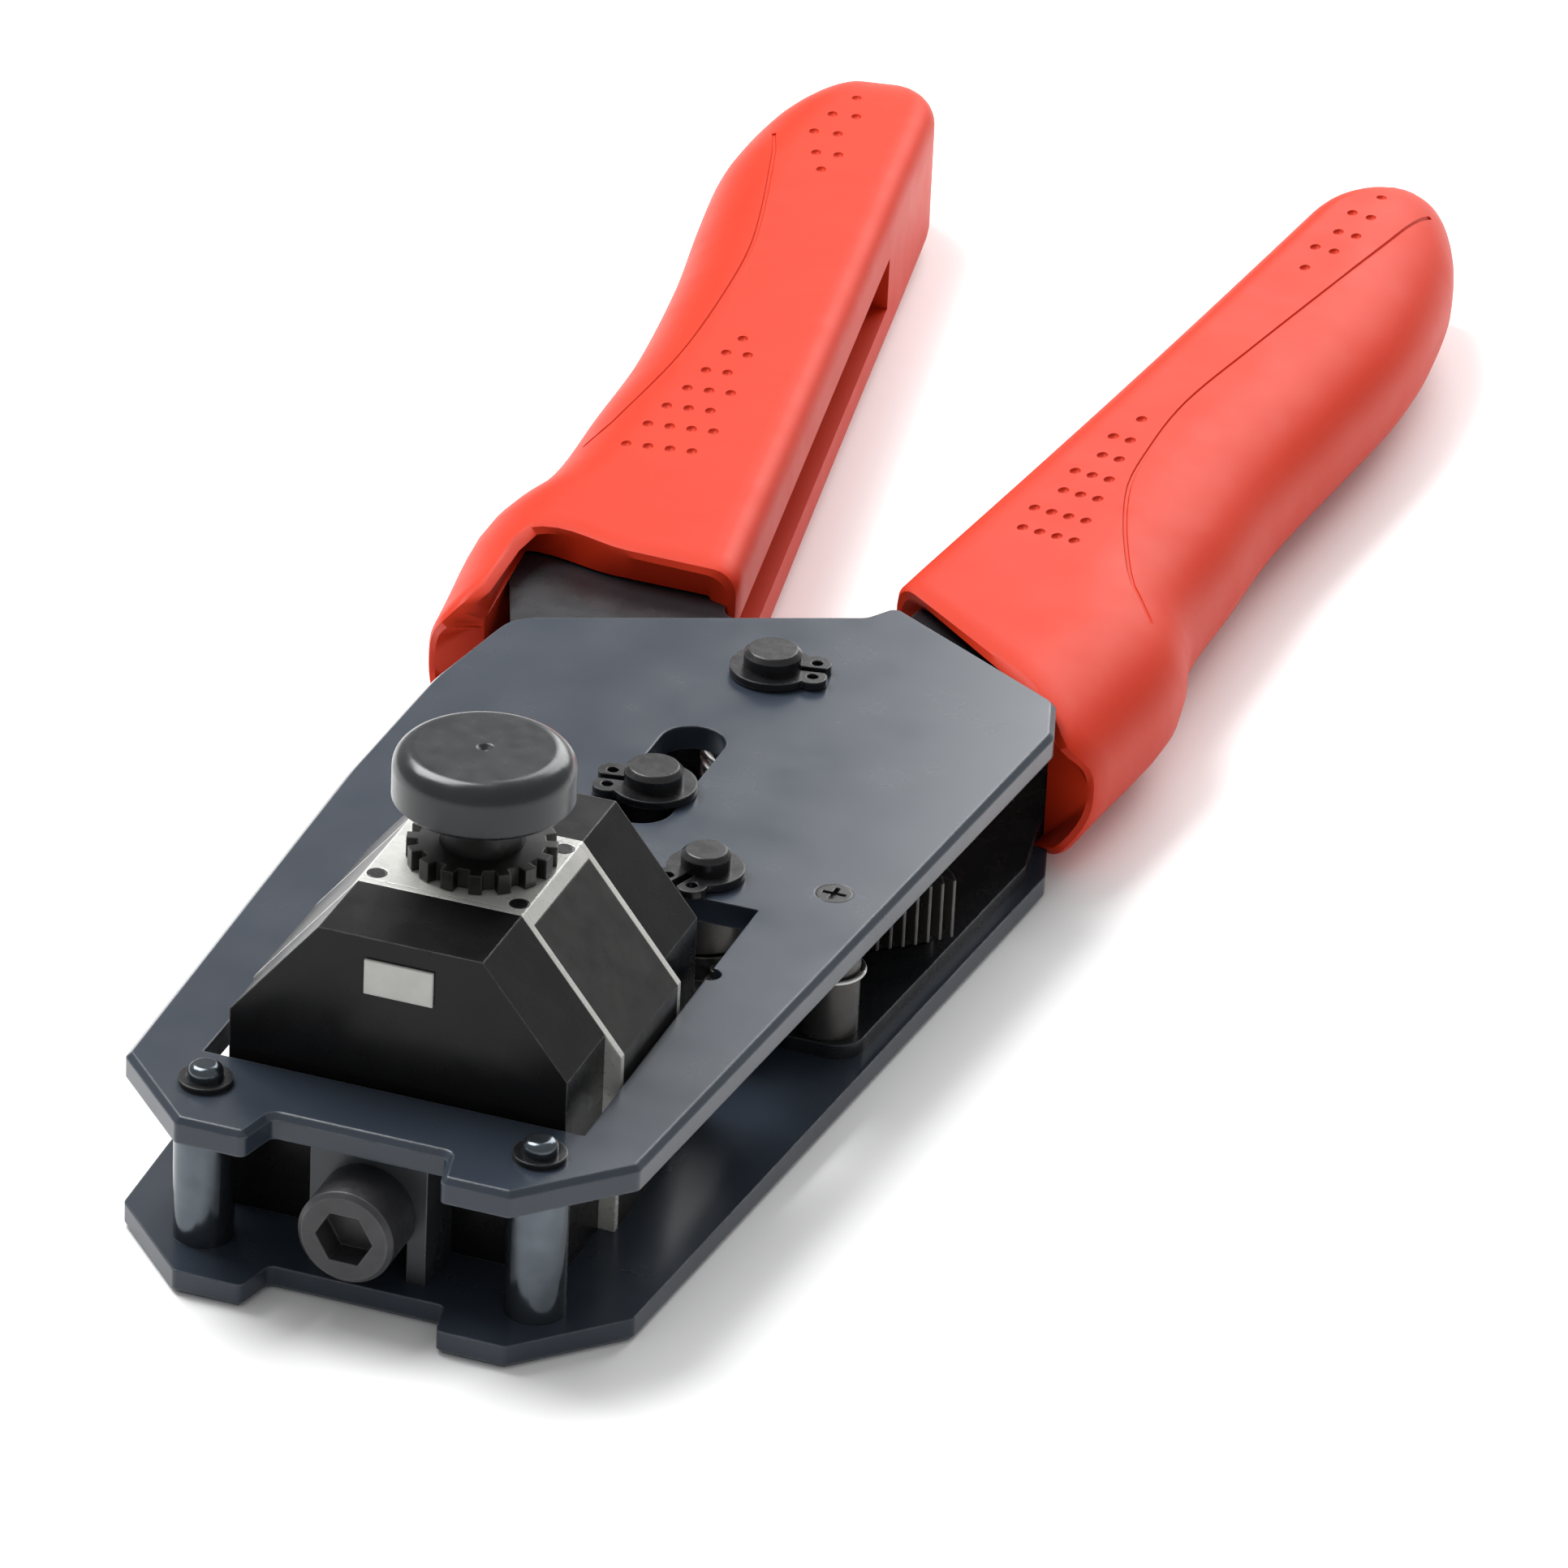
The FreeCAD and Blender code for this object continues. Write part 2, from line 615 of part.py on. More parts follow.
holder_front = channel_front + stroke + sliding_gap
holder_top = cavity_ceiling - sliding_gap
holder_body = box(-holder_half, holder_half, holder_front, holder_rear, -ram_top, holder_top)
blade_tip = cavity_rear + 0.2
blade_end = holder_front + punch_seat_depth
blade_middles = [(i - (blade_count - 1) / 2) * blade_pitch for i in range(blade_count)]
blades = [
    box(x - blade_thickness / 2, x + blade_thickness / 2, blade_tip, blade_end, blade_low, blade_high)
    for x in blade_middles
]
relief_punch = box(-relief_half, relief_half, blade_tip, blade_end, relief_low, relief_high)
nodes["contact_blades"] = Part.makeCompound(blades)
nodes["strain_relief_punch"] = relief_punch
nodes["punch_holder"] = without(joined([holder_body, tongue]), [punch_pin, relief_punch] + blades)

toggle_bottom = -plate_outer + 0.4
nodes["toggle_pin"] = ringed_pin(ram_x, toggle_rest_y, main_pin_radius, main_pin_tip_radius, toggle_bottom,
                                 ring_seat)
nodes["toggle_pin_ring"] = snap_ring(ram_x, toggle_rest_y, main_pin_tip_radius - 0.3, ring_seat, 190)

# ---- Toggle link ----
along = V(toggle[0] - crank[0], toggle[1] - crank[1], 0).normalize()
across = V(-along.y, along.x, 0) * 0.9
link_bar = [
    V(crank[0], crank[1], 0) + across * crank_eye_radius,
    V(toggle[0], toggle[1], 0) + across * link_eye_radius,
    V(toggle[0], toggle[1], 0) - across * link_eye_radius,
    V(crank[0], crank[1], 0) - across * crank_eye_radius,
]
link_body = joined([
    prism([(p.x, p.y) for p in link_bar], -link_half_thickness, link_half_thickness),
    disc(crank[0], crank[1], crank_eye_radius, -link_half_thickness, link_half_thickness),
    disc(toggle[0], toggle[1], link_eye_radius, -link_half_thickness, link_half_thickness),
])
eye_radius = main_pin_radius + open_pivot_clearance
nodes["toggle_link"] = without(link_body, [
    disc(crank[0], crank[1], crank_pin_radius + running_fit, -link_half_thickness, link_half_thickness),
    disc(toggle[0], toggle[1], eye_radius, -link_half_thickness, link_half_thickness),
])


# ---- Handle frames: x runs outward from the handle's inner edge, y runs along the handle ----
def place_right(shape):
    moved = shape.copy()
    moved.rotate(V(0, 0, 0), UP, -right_lean)
    return moved.translate(V(right_root[0], right_root[1], 0))


def place_left(shape):
    moved = shape.mirror(V(0, 0, 0), V(1, 0, 0))
    moved.rotate(V(0, 0, 0), UP, left_lean)
    return moved.translate(V(left_root[0], left_root[1], 0))


def right_point(across_handle, along_handle):
    turn = math.radians(right_lean)
    return (right_root[0] + across_handle * math.cos(turn) + along_handle * math.sin(turn),
            right_root[1] - across_handle * math.sin(turn) + along_handle * math.cos(turn))


def left_point(across_handle, along_handle):
    turn = math.radians(left_lean)
    return (left_root[0] - across_handle * math.cos(turn) - along_handle * math.sin(turn),
            left_root[1] - across_handle * math.sin(turn) + along_handle * math.cos(turn))


def lever_outline(end):
    """Lever arm inside its grip, tapering to a rounded end."""
    return [
        (3.2, -4.0), (24.6, -4.0), (23.4, 8.0), (18.4, 35.0, 40.0), (16.4, 60.0, 40.0),
        (15.8, end - 15.0, 10.0), (12.2, end, 4.0), (5.0, end, 4.0), (3.2, end - 9.0, 6.0),
    ]


def lever_channel(half, cheek, end):
    """U-shaped lever arm, open on its inner side."""
    hollow = prism(lever_outline(end), cheek - half, half - cheek)
    hollow.translate(V(-web_thickness, 0, 0))
    return without(prism(lever_outline(end), -half, half), [hollow])


# ---- Moving lever: two cheeks on the pivot, with a forward arm that carries crank pin and rack ----
moving_head = [
    (11.5, 101.0, 4.0), (10.5, 114.5, 4.0), (-8.5, 125.5, 2.0), left_point(3.2, 6.0), left_point(24.2, 6.0),
    left_point(24.6, -6.0) + (3.0,), left_point(22.0, -17.5) + (3.0,), (-20.0, 107.5, 6.0), (-4.0, 99.5, 6.0),
]
arm_end = rack_rivet_orbit + 2.6
forward_arm = [
    (-2.5, 103.0), (5.2, 91.5, 3.0), polar(pivot, arm_end, rack_to + 1.0) + (2.0,),
    polar(pivot, arm_end, rack_from) + (2.0,), (16.5, 100.5, 3.0), (8.0, 112.0),
]
moving_sheets = both_levels(moving_head, lever_inner, moving_outer)
moving_sheets += both_levels(forward_arm, lever_inner, moving_outer)
rivet_spots = [polar(pivot, rack_rivet_orbit, angle) for angle in rack_rivet_angles]
rivets = [disc(x, y, rack_rivet_radius, -moving_outer, moving_outer) for x, y in rivet_spots]
crank_pin = disc(crank[0], crank[1], crank_pin_radius, -moving_outer, moving_outer)
bush_hole = disc(pivot_x, pivot_y, bush_outer, -moving_outer, moving_outer)
left_seat = place_left(disc(seat_across, seat_along, seat_pin_radius, -moving_outer, moving_outer))
moving_arm = place_left(lever_channel(moving_outer, moving_cheek, moving_lever_end))
moving_body = joined([moving_arm] + moving_sheets)
nodes["moving_lever"] = without(moving_body, rivets + [crank_pin, bush_hole, left_seat])
nodes["crank_pin"] = crank_pin
nodes["rack_rivets"] = Part.makeCompound(rivets)
nodes["moving_spring_seat"] = left_seat
nodes["pivot_bush"] = without(bush_hole, [disc(pivot_x, pivot_y, bush_inner, -moving_outer, moving_outer)])

# ---- Ratchet rack between the cheeks ----
rack_step = (rack_to - rack_from) / rack_teeth
rack_tooth = ((rack_tip_radius, 0.4), (rack_tip_radius, 0.6), (rack_root_radius, 1.0))
rack_corners = [polar(pivot, rack_inner_radius, a) for a in (rack_to, (rack_from + rack_to) / 2, rack_from)]
rack_corners.append(polar(pivot, rack_root_radius, rack_from))
for tooth in range(rack_teeth):
    for radius, share in rack_tooth:
        rack_corners.append(polar(pivot, radius, rack_from + (tooth + share) * rack_step))
nodes["ratchet_rack"] = without(prism(rack_corners, -lever_inner, lever_inner), rivets)

# ---- Pawl with its spring stud ----
contact = polar(pivot, rack_tip_radius + pawl_tip_gap, pawl_contact_angle)
heel = polar(pivot, rack_tip_radius + pawl_tip_gap + 2.4, pawl_contact_angle - 2.0)
pawl_arm = [
    (pawl_x - 2.6, pawl_y + 3.6), contact, heel, (pawl_x + 4.3, pawl_y - 0.5),
]
tail = (pawl_x + pawl_tail[0], pawl_y + pawl_tail[1])
tail_top = 0.2
tail_radius = 2.2
pawl_body = joined([
    disc(pawl_x, pawl_y, pawl_eye_radius, -pawl_half_thickness, pawl_half_thickness),
    prism(pawl_arm, -pawl_half_thickness, pawl_half_thickness),
    prism([(pawl_x - 2.0, pawl_y - 2.0), (pawl_x + 2.5, pawl_y - 1.0), (tail[0] + 1.9, tail[1] + 1.0),
           (tail[0] - 1.9, tail[1] - 1.0)], -pawl_half_thickness, tail_top),
    disc(tail[0], tail[1], tail_radius, -pawl_half_thickness, tail_top),
    disc(tail[0], tail[1], pawl_stud_radius, tail_top, pawl_half_thickness),
])
nodes["ratchet_pawl"] = without(pawl_body, [
    disc(pawl_x, pawl_y, pawl_pin_radius + running_fit, -pawl_half_thickness, pawl_half_thickness)])


# ---- Pawl spring: a small tension coil with a loop at each end ----
def tension_spring(start, start_loop, end, end_loop, level, radius, wire, turns):
    """Tension coil lying at one level from a loop round start to a loop round end."""
    reach = V(end[0] - start[0], end[1] - start[1], 0)
    length = reach.Length
    loops = [
        Part.makeTorus(start_loop, wire, V(0, 0, 0), V(1, 0, 0)),
        Part.makeTorus(end_loop, wire, V(0, 0, length), V(1, 0, 0)),
    ]
    low = start_loop + radius * 0.4
    high = length - end_loop - radius * 0.4
    body = coil(radius, wire, (high - low) / turns, turns).translate(V(0, 0, low))
    hooks = [
        Part.makeCylinder(wire, low - start_loop + wire, V(0, 0, start_loop - wire / 2), UP),
        Part.makeCylinder(wire, radius, V(0, 0, low), V(1, 0, 0)),
        Part.makeCylinder(wire, length - end_loop - high + wire, V(0, 0, high - wire / 2), UP),
        Part.makeCylinder(wire, radius, V(0, 0, high), V(1, 0, 0)),
    ]
    spring = joined([body] + loops + hooks)
    spring.rotate(V(0, 0, 0), V(0, 1, 0), 90)
    spring.rotate(V(0, 0, 0), UP, math.degrees(math.atan2(reach.y, reach.x)))
    return spring.translate(V(start[0], start[1], level))

stud_loop = pawl_stud_radius + 0.35
post_loop = spring_post_radius + 0.35
nodes["pawl_spring"] = tension_spring(tail, stud_loop, spring_post_at, post_loop, 1.3, 0.9, 0.25, 7)

# ---- Fixed lever: two cheeks against the side plates ----
fixed_head = [
    (19.0, 62.5, 3.0), (19.0, 88.0, 8.0), (8.0, 97.5, 4.0), (-3.5, 101.0, 4.0), (-3.5, 112.5, 4.0),
    right_point(3.2, -8.0), right_point(3.2, 6.0), right_point(24.2, 6.0), right_point(24.6, -12.0),
    (30.8, 113.5, 2.0), (32.3, 105.0, 2.0), (28.6, 62.5, 3.0),
]
main_pin_hole = disc(pivot_x, pivot_y, main_pin_radius, -plate_inner, plate_inner)
right_seat = place_right(disc(seat_across, seat_along, seat_pin_radius, -plate_inner, plate_inner))
fixed_sheets = both_levels(fixed_head, fixed_inner, plate_inner)
fixed_arm = place_right(lever_channel(plate_inner, fixed_cheek, fixed_lever_end))
fixed_body = joined([fixed_arm] + fixed_sheets)
nodes["fixed_lever"] = without(fixed_body, [main_pin_hole, right_seat] + post_screws)
nodes["fixed_spring_seat"] = right_seat

# ---- Grips: moulded sleeves with a guard at the front and a slot along the inner side ----
grip_back = [
    (31.0, 4.0, 12.0), (27.0, 14.0, 12.0), (25.0, 32.0, 40.0), (22.8, 50.0, 60.0), (22.4, 75.0, 60.0),
]
left_tip = [
    (23.3, 98.0, 60.0), (21.6, 113.0, 30.0), (18.2, 127.0, 8.0), (11.5, 134.0, 5.0), (0.0, 121.5, 14.0),
]
right_tip = [
    (21.3, 96.0, 60.0), (17.6, 112.0, 30.0), (14.6, 122.0, 6.0), (8.8, 128.0, 4.0), (0.0, 115.0, 12.0),
]
left_mouth = [(0.0, -7.0, 1.5), (25.4, -2.0), (24.0, -16.0, 1.0), (29.5, -20.4, 1.2), (31.2, -15.0, 2.0)]
right_mouth = [(0.9, -1.5, 1.5), (25.6, -17.4, 1.0), (30.8, -20.6, 1.2), (31.4, -15.0, 2.0)]
grip_slot = box(-1.0, 6.0, -25.0, slot_reach, -slot_half_height, slot_half_height)


def grip(outline, place, lever_half, lever_end, head):
    sleeve = prism(outline, -grip_half_thickness, grip_half_thickness)
    rims = edges_at(sleeve, grip_half_thickness) + edges_at(sleeve, -grip_half_thickness)
    sleeve = sleeve.makeChamfer(grip_edge_round, rims)
    core = prism(lever_outline(lever_end), -lever_half, lever_half)
    neck = prism(head, -lever_half, lever_half)
    return without(place(without(sleeve, [core, grip_slot])), [neck])


left_outline = left_mouth + grip_back + left_tip
right_outline = right_mouth + grip_back + right_tip
nodes["moving_grip"] = grip(left_outline, place_left, moving_outer, moving_lever_end, moving_head)
nodes["fixed_grip"] = grip(right_outline, place_right, plate_inner, fixed_lever_end, fixed_head)


# ---- Return spring: torsion coil round the bush with a leg along each lever ----
def tangent_point(centre, radius, target, side):
    """Where a line from target touches a circle, on the given side of the centre line."""
    reach = math.hypot(target[0] - centre[0], target[1] - centre[1])
    heading = math.atan2(target[1] - centre[1], target[0] - centre[0])
    turn = heading + side * math.acos(radius / reach)
    return (centre[0] + radius * math.cos(turn), centre[1] + radius * math.sin(turn), turn)


leg_across = seat_across - seat_pin_radius - coil_wire - 0.1
left_target = left_point(leg_across, seat_along)
right_target = right_point(leg_across, seat_along)
left_touch = tangent_point(pivot, coil_radius, left_target, 1)
right_touch = tangent_point(pivot, coil_radius, right_target, -1)
spring_turns = whole_turns + ((right_touch[2] - left_touch[2]) % (2 * math.pi)) / (2 * math.pi)
spring_height = coil_pitch * spring_turns


def spring_leg(touch, target, level):
    start = V(touch[0], touch[1], level)
    reach = V(target[0], target[1], level) - start
    return Part.makeCylinder(coil_wire, reach.Length + leg_overrun, start, reach)


winding = coil(coil_radius, coil_wire, coil_pitch, spring_turns)
winding.rotate(V(0, 0, 0), UP, math.degrees(left_touch[2]))
winding.translate(V(pivot_x, pivot_y, -spring_height / 2))
nodes["return_spring"] = joined([
    winding,
    spring_leg(left_touch, left_target, -spring_height / 2),
    spring_leg(right_touch, right_target, spring_height / 2),
])

# ---- Move the origin to the bottom centre of the whole tool and write the files ----
whole = Part.makeCompound(list(nodes.values())).BoundBox
origin_shift = V(-whole.Center.x, -whole.Center.y, -whole.ZMin)
os.makedirs("parts", exist_ok=True)
for name, shape in nodes.items():
    shape.translate(origin_shift)
    shape.exportStep("parts/" + name + ".step")
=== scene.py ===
import math

import bmesh
import bpy
from mathutils import Matrix, Vector


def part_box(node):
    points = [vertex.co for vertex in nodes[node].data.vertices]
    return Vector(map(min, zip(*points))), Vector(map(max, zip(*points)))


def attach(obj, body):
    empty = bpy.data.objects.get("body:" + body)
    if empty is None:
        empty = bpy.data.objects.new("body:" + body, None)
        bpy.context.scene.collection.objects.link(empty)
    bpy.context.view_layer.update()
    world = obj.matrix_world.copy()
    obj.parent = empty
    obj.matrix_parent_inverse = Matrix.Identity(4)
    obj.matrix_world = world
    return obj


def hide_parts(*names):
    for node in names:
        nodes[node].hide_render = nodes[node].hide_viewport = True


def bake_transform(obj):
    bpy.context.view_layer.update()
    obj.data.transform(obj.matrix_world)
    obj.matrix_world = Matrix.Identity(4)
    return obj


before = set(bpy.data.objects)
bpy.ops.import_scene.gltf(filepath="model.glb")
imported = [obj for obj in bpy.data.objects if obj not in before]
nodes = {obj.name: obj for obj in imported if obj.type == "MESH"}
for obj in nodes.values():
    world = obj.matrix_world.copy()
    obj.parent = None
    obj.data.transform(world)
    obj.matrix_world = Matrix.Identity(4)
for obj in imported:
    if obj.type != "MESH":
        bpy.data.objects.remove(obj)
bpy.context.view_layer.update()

# ---- Working frame ----
# Everything is placed from the middle of the tool's nose, halfway between the two side plates.
# X runs across the tool, Y from the nose to the handle ends, Z up; sizes are given in millimetres.
mm = 0.001
screw_low, screw_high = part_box("die_clamp_screw")
screw_setback = 1.0
screw_middle = (screw_low + screw_high) / 2
nose = Vector((screw_middle.x, screw_low.y - screw_setback * mm, screw_middle.z))


def at(x, y, z):
    """A point of the tool, in millimetres from the middle of the nose, as a place in the scene."""
    return nose + Vector((x, y, z)) * mm


# ---- Camera ----
# A long lens looks down on the nose from the front and a little to the right, tilted by a few degrees.
camera_turn = math.radians(18.622)
camera_height = math.radians(28.297)
camera_tilt = math.radians(2.804)
camera_distance = 898.03
camera_target = at(12.615, 85.124, 9.55)
camera_data = bpy.data.cameras.new("camera")
camera_data.sensor_width = 36.0
camera_data.lens = 206.5
camera_data.clip_end = 20.0
camera = bpy.data.objects.new("camera", camera_data)
bpy.context.scene.collection.objects.link(camera)
back = Vector((math.sin(camera_turn) * math.cos(camera_height),
               -math.cos(camera_turn) * math.cos(camera_height),
               math.sin(camera_height)))
level = Vector((math.cos(camera_turn), math.sin(camera_turn), 0.0))
upright = back.cross(level)
right = level * math.cos(camera_tilt) + upright * math.sin(camera_tilt)
up = upright * math.cos(camera_tilt) - level * math.sin(camera_tilt)
camera_place = camera_target + back * camera_distance * mm
camera_axes = Matrix((right, up, back)).transposed().to_4x4()
camera.matrix_world = Matrix.Translation(camera_place) @ camera_axes
bpy.context.scene.camera = camera
bpy.context.scene.view_settings.view_transform = "Standard"

# ---- Floor and studio light ----
# A plain pale sheet lies under the tool.
# One large soft lamp hangs high on the left and another behind the handles.
floor_half = 3.0
lamp_aim = (0, 110, 0)
floor_mesh = bmesh.new()
bmesh.ops.create_grid(floor_mesh, x_segments=1, y_segments=1, size=floor_half)
floor_data = bpy.data.meshes.new("floor")
floor_mesh.to_mesh(floor_data)
floor_mesh.free()
floor = bpy.data.objects.new("floor", floor_data)
bpy.context.scene.collection.objects.link(floor)
floor_paper = bpy.data.materials.new("pale_paper")
floor_paper.use_nodes = True
paper = floor_paper.node_tree.nodes["Principled BSDF"]
paper.inputs["Base Color"].default_value = (0.97, 0.97, 0.97, 1.0)
paper.inputs["Roughness"].default_value = 0.9
paper.inputs["Specular IOR Level"].default_value = 0.1
floor_data.materials.append(floor_paper)

world = bpy.data.worlds.new("studio")
bpy.context.scene.world = world
world.use_nodes = True
world.node_tree.nodes["Background"].inputs["Color"].default_value = (1.0, 1.0, 1.0, 1.0)
world.node_tree.nodes["Background"].inputs["Strength"].default_value = 0.50


def soft_lamp(name, place_mm, size_mm, watts):
    """A square lamp aimed at the middle of the tool."""
    data = bpy.data.lights.new(name, "AREA")
    data.size = size_mm * mm
    data.energy = watts
    lamp = bpy.data.objects.new(name, data)
    bpy.context.scene.collection.objects.link(lamp)
    lamp.location = at(*place_mm)
    aim = at(*lamp_aim) - lamp.location
    lamp.rotation_euler = aim.to_track_quat("-Z", "Y").to_euler()


soft_lamp("key_lamp", (-380, 240, 640), 420, 7.5)
soft_lamp("rear_lamp", (60, 800, 460), 520, 5.0)


# ---- Side plates ----
# Two flat plates of hardened steel, ground and then blackened to a smooth blue-grey.
# Their outer edges are bevelled, and the bevels carry a painted highlight, a little brighter than the faces.
grain_size = 0.35
grain_height = 0.02
# The painted edge highlight comes in patches of this size. It is full at the first direction likeness below
# and gone at the second.
highlight_patch_size = 1.5
full_highlight_likeness = 0.90
flat_face_likeness = 0.995


def mottled_metal_painted_edges(name, colour, highlight_colour, roughness, metallic=0.0, mottle=0.1, mottle_size=6.0, grain=0.15,
               edge_width=0.25, edge_share=0.8, sheen=0.5):
    """Metal finish with faint mottling, fine grain and a painted highlight along the edges. Sizes in
    millimetres.
    An edge is found where the rounded surface direction differs from the flat face's own."""
    material = bpy.data.materials.new(name)
    material.use_nodes = True
    tree = material.node_tree
    shader = tree.nodes["Principled BSDF"]
    shader.inputs["Metallic"].default_value = metallic
    shader.inputs["Specular IOR Level"].default_value = sheen
    where = tree.nodes.new("ShaderNodeTexCoord").outputs["Object"]

    def noise(size, detail):
        node = tree.nodes.new("ShaderNodeTexNoise")
        node.inputs["Scale"].default_value = 1.0 / (size * mm)
        node.inputs["Detail"].default_value = detail
        tree.links.new(where, node.inputs["Vector"])
        return node.outputs["Fac"]

    def spread(source, low, high, start=0.3, end=0.7):
        node = tree.nodes.new("ShaderNodeMapRange")
        node.inputs["From Min"].default_value = start
        node.inputs["From Max"].default_value = end
        node.inputs["To Min"].default_value = low
        node.inputs["To Max"].default_value = high
        tree.links.new(source, node.inputs["Value"])
        return node.outputs["Result"]

    shade = tree.nodes.new("ShaderNodeMix")
    shade.data_type = "RGBA"
    shade.inputs[6].default_value = [c * (1.0 - mottle) for c in colour] + [1.0]
    shade.inputs[7].default_value = [min(1.0, c * (1.0 + mottle)) for c in colour] + [1.0]
    tree.links.new(spread(noise(mottle_size, 5.0), 0.0, 1.0), shade.inputs[0])

    # Painted highlight: the base colour is lifted towards the edge colour, in patches, where the rounded
    # direction turns away from the face's own.
    rounded = tree.nodes.new("ShaderNodeBevel")
    rounded.samples = 4
    rounded.inputs["Radius"].default_value = edge_width * mm
    facing = tree.nodes.new("ShaderNodeNewGeometry")
    likeness = tree.nodes.new("ShaderNodeVectorMath")
    likeness.operation = "DOT_PRODUCT"
    tree.links.new(rounded.outputs["Normal"], likeness.inputs[0])
    tree.links.new(facing.outputs["Normal"], likeness.inputs[1])
    edge_highlight_mask = spread(likeness.outputs["Value"], edge_share, 0.0, full_highlight_likeness, flat_face_likeness)
    patchy = tree.nodes.new("ShaderNodeMath")
    patchy.operation = "MULTIPLY"
    tree.links.new(edge_highlight_mask, patchy.inputs[0])
    tree.links.new(spread(noise(highlight_patch_size, 3.0), 0.35, 1.0), patchy.inputs[1])
    edge = tree.nodes.new("ShaderNodeMix")
    edge.data_type = "RGBA"
    edge.inputs[7].default_value = list(highlight_colour) + [1.0]
    tree.links.new(patchy.outputs[0], edge.inputs[0])
    tree.links.new(shade.outputs[2], edge.inputs[6])
    tree.links.new(edge.outputs[2], shader.inputs["Base Color"])

    gloss = spread(noise(mottle_size * 0.4, 4.0), roughness * 0.85, roughness * 1.2)
    tree.links.new(gloss, shader.inputs["Roughness"])
    bump = tree.nodes.new("ShaderNodeBump")
    bump.inputs["Strength"].default_value = grain
    bump.inputs["Distance"].default_value = grain_height * mm
    tree.links.new(noise(grain_size, 2.0), bump.inputs["Height"])
    tree.links.new(rounded.outputs["Normal"], bump.inputs["Normal"])
    tree.links.new(bump.outputs["Normal"], shader.inputs["Normal"])
    return material


def coat_nodes(material, names):
    """Gives CAD nodes this finish."""
    for name in names:
        nodes[name].data.materials.clear()
        nodes[name].data.materials.append(material)


plate_steel = mottled_metal_painted_edges("blackened_plate", (0.026, 0.034, 0.048), (0.15, 0.17, 0.19), 0.24,
                         mottle=0.07, mottle_size=22.0, grain=0.012, edge_width=0.3, sheen=0.42)
coat_nodes(plate_steel, ["top_side_plate", "bottom_side_plate"])

# ---- Nose: posts, rings, block and clamp screw ----
# Turned steel posts hold the plates apart and stand through the upper one with a small ring round each.
# The block between them is milled, and the cap screw through it clamps the nest.
post_steel = mottled_metal_painted_edges("turned_post", (0.09, 0.105, 0.12), (0.40, 0.41, 0.43), 0.16, metallic=0.9,
                        mottle=0.15, mottle_size=3.0, grain=0.05)
coat_nodes(post_steel, ["front_post_left", "front_post_right"])
black_steel = mottled_metal_painted_edges("black_oxide", (0.008, 0.008, 0.009), (0.09, 0.09, 0.095), 0.26, mottle=0.25,
                         mottle_size=3.0, grain=0.1, sheen=0.4)
coat_nodes(black_steel, ["front_post_rings", "main_pivot_pin", "main_pivot_ring", "pawl_pin",
                         "pawl_pin_ring", "toggle_pin", "toggle_pin_ring", "spring_post_screws",
                         "nest_screws", "detent_plate_screws", "knob_grub_screw"])
block_steel = mottled_metal_painted_edges("milled_block", (0.045, 0.050, 0.056), (0.20, 0.21, 0.22), 0.30, metallic=0.4,
                         mottle=0.18, mottle_size=8.0, grain=0.15, edge_width=0.2)
coat_nodes(block_steel, ["nose_block"])
screw_steel = mottled_metal_painted_edges("cap_screw_black", (0.026, 0.026, 0.029), (0.14, 0.14, 0.14), 0.42, mottle=0.2,
                         mottle_size=2.0, grain=0.3)
coat_nodes(screw_steel, ["die_clamp_screw"])

# ---- Nest: front and rear blocks, guide plates, die body and its top plate ----
# The two outer blocks are blackened steel; the die body between them is tool steel, dulled by heat treatment.
# Thin bright guide plates show as lines between the blocks, and a bright plate covers the die body's top.
nest_black = mottled_metal_painted_edges("nest_black", (0.006, 0.006, 0.0065), (0.20, 0.19, 0.18), 0.26, mottle=0.15,
                        mottle_size=9.0, grain=0.06, edge_width=0.2, edge_share=0.9, sheen=0.18)
coat_nodes(nest_black, ["front_nest_block", "rear_nest_block"])
die_steel = mottled_metal_painted_edges("heat_treated_die", (0.012, 0.0115, 0.011), (0.17, 0.15, 0.13), 0.32, mottle=0.5,
                       mottle_size=4.0, grain=0.15, edge_width=0.2, edge_share=0.9, sheen=0.35)
coat_nodes(die_steel, ["die_body"])
bright_steel = mottled_metal_painted_edges("bright_ground", (0.60, 0.60, 0.57), (0.70, 0.70, 0.66), 0.28, metallic=0.35,
                          mottle=0.06, mottle_size=3.0, grain=0.08)
coat_nodes(bright_steel, ["front_guide_plate", "rear_guide_plate", "detent_plate", "detent_ball",
                          "contact_blades", "strain_relief_punch"])
label_film = mottled_metal_painted_edges("blank_film", (0.50, 0.50, 0.475), (0.54, 0.54, 0.51), 0.5, mottle=0.05,
                        mottle_size=2.0, grain=0.1)
coat_nodes(label_film, ["blank_label"])

# ---- Adjusting knob, spindle and toothed wheel ----
# A turned black knob is fixed on a spindle by a small grub screw.
# The toothed wheel under it clicks round over a sprung ball in the bright plate.
knob_black = mottled_metal_painted_edges("turned_knob", (0.016, 0.018, 0.020), (0.10, 0.10, 0.11), 0.24, mottle=0.12,
                        mottle_size=5.0, grain=0.05, sheen=0.4)
coat_nodes(knob_black, ["adjusting_knob"])
# The spindle and wheel are coloured near black with a brown tinge. This is their own black finish together
# with painted shadow from the knob above them.
wheel_black_and_shadow = mottled_metal_painted_edges("wheel_black_painted_shadow", (0.005, 0.0045, 0.004), (0.05, 0.045, 0.04), 0.42, mottle=0.4,
                         mottle_size=2.0, grain=0.3)
coat_nodes(wheel_black_and_shadow, ["knob_spindle", "detent_wheel"])
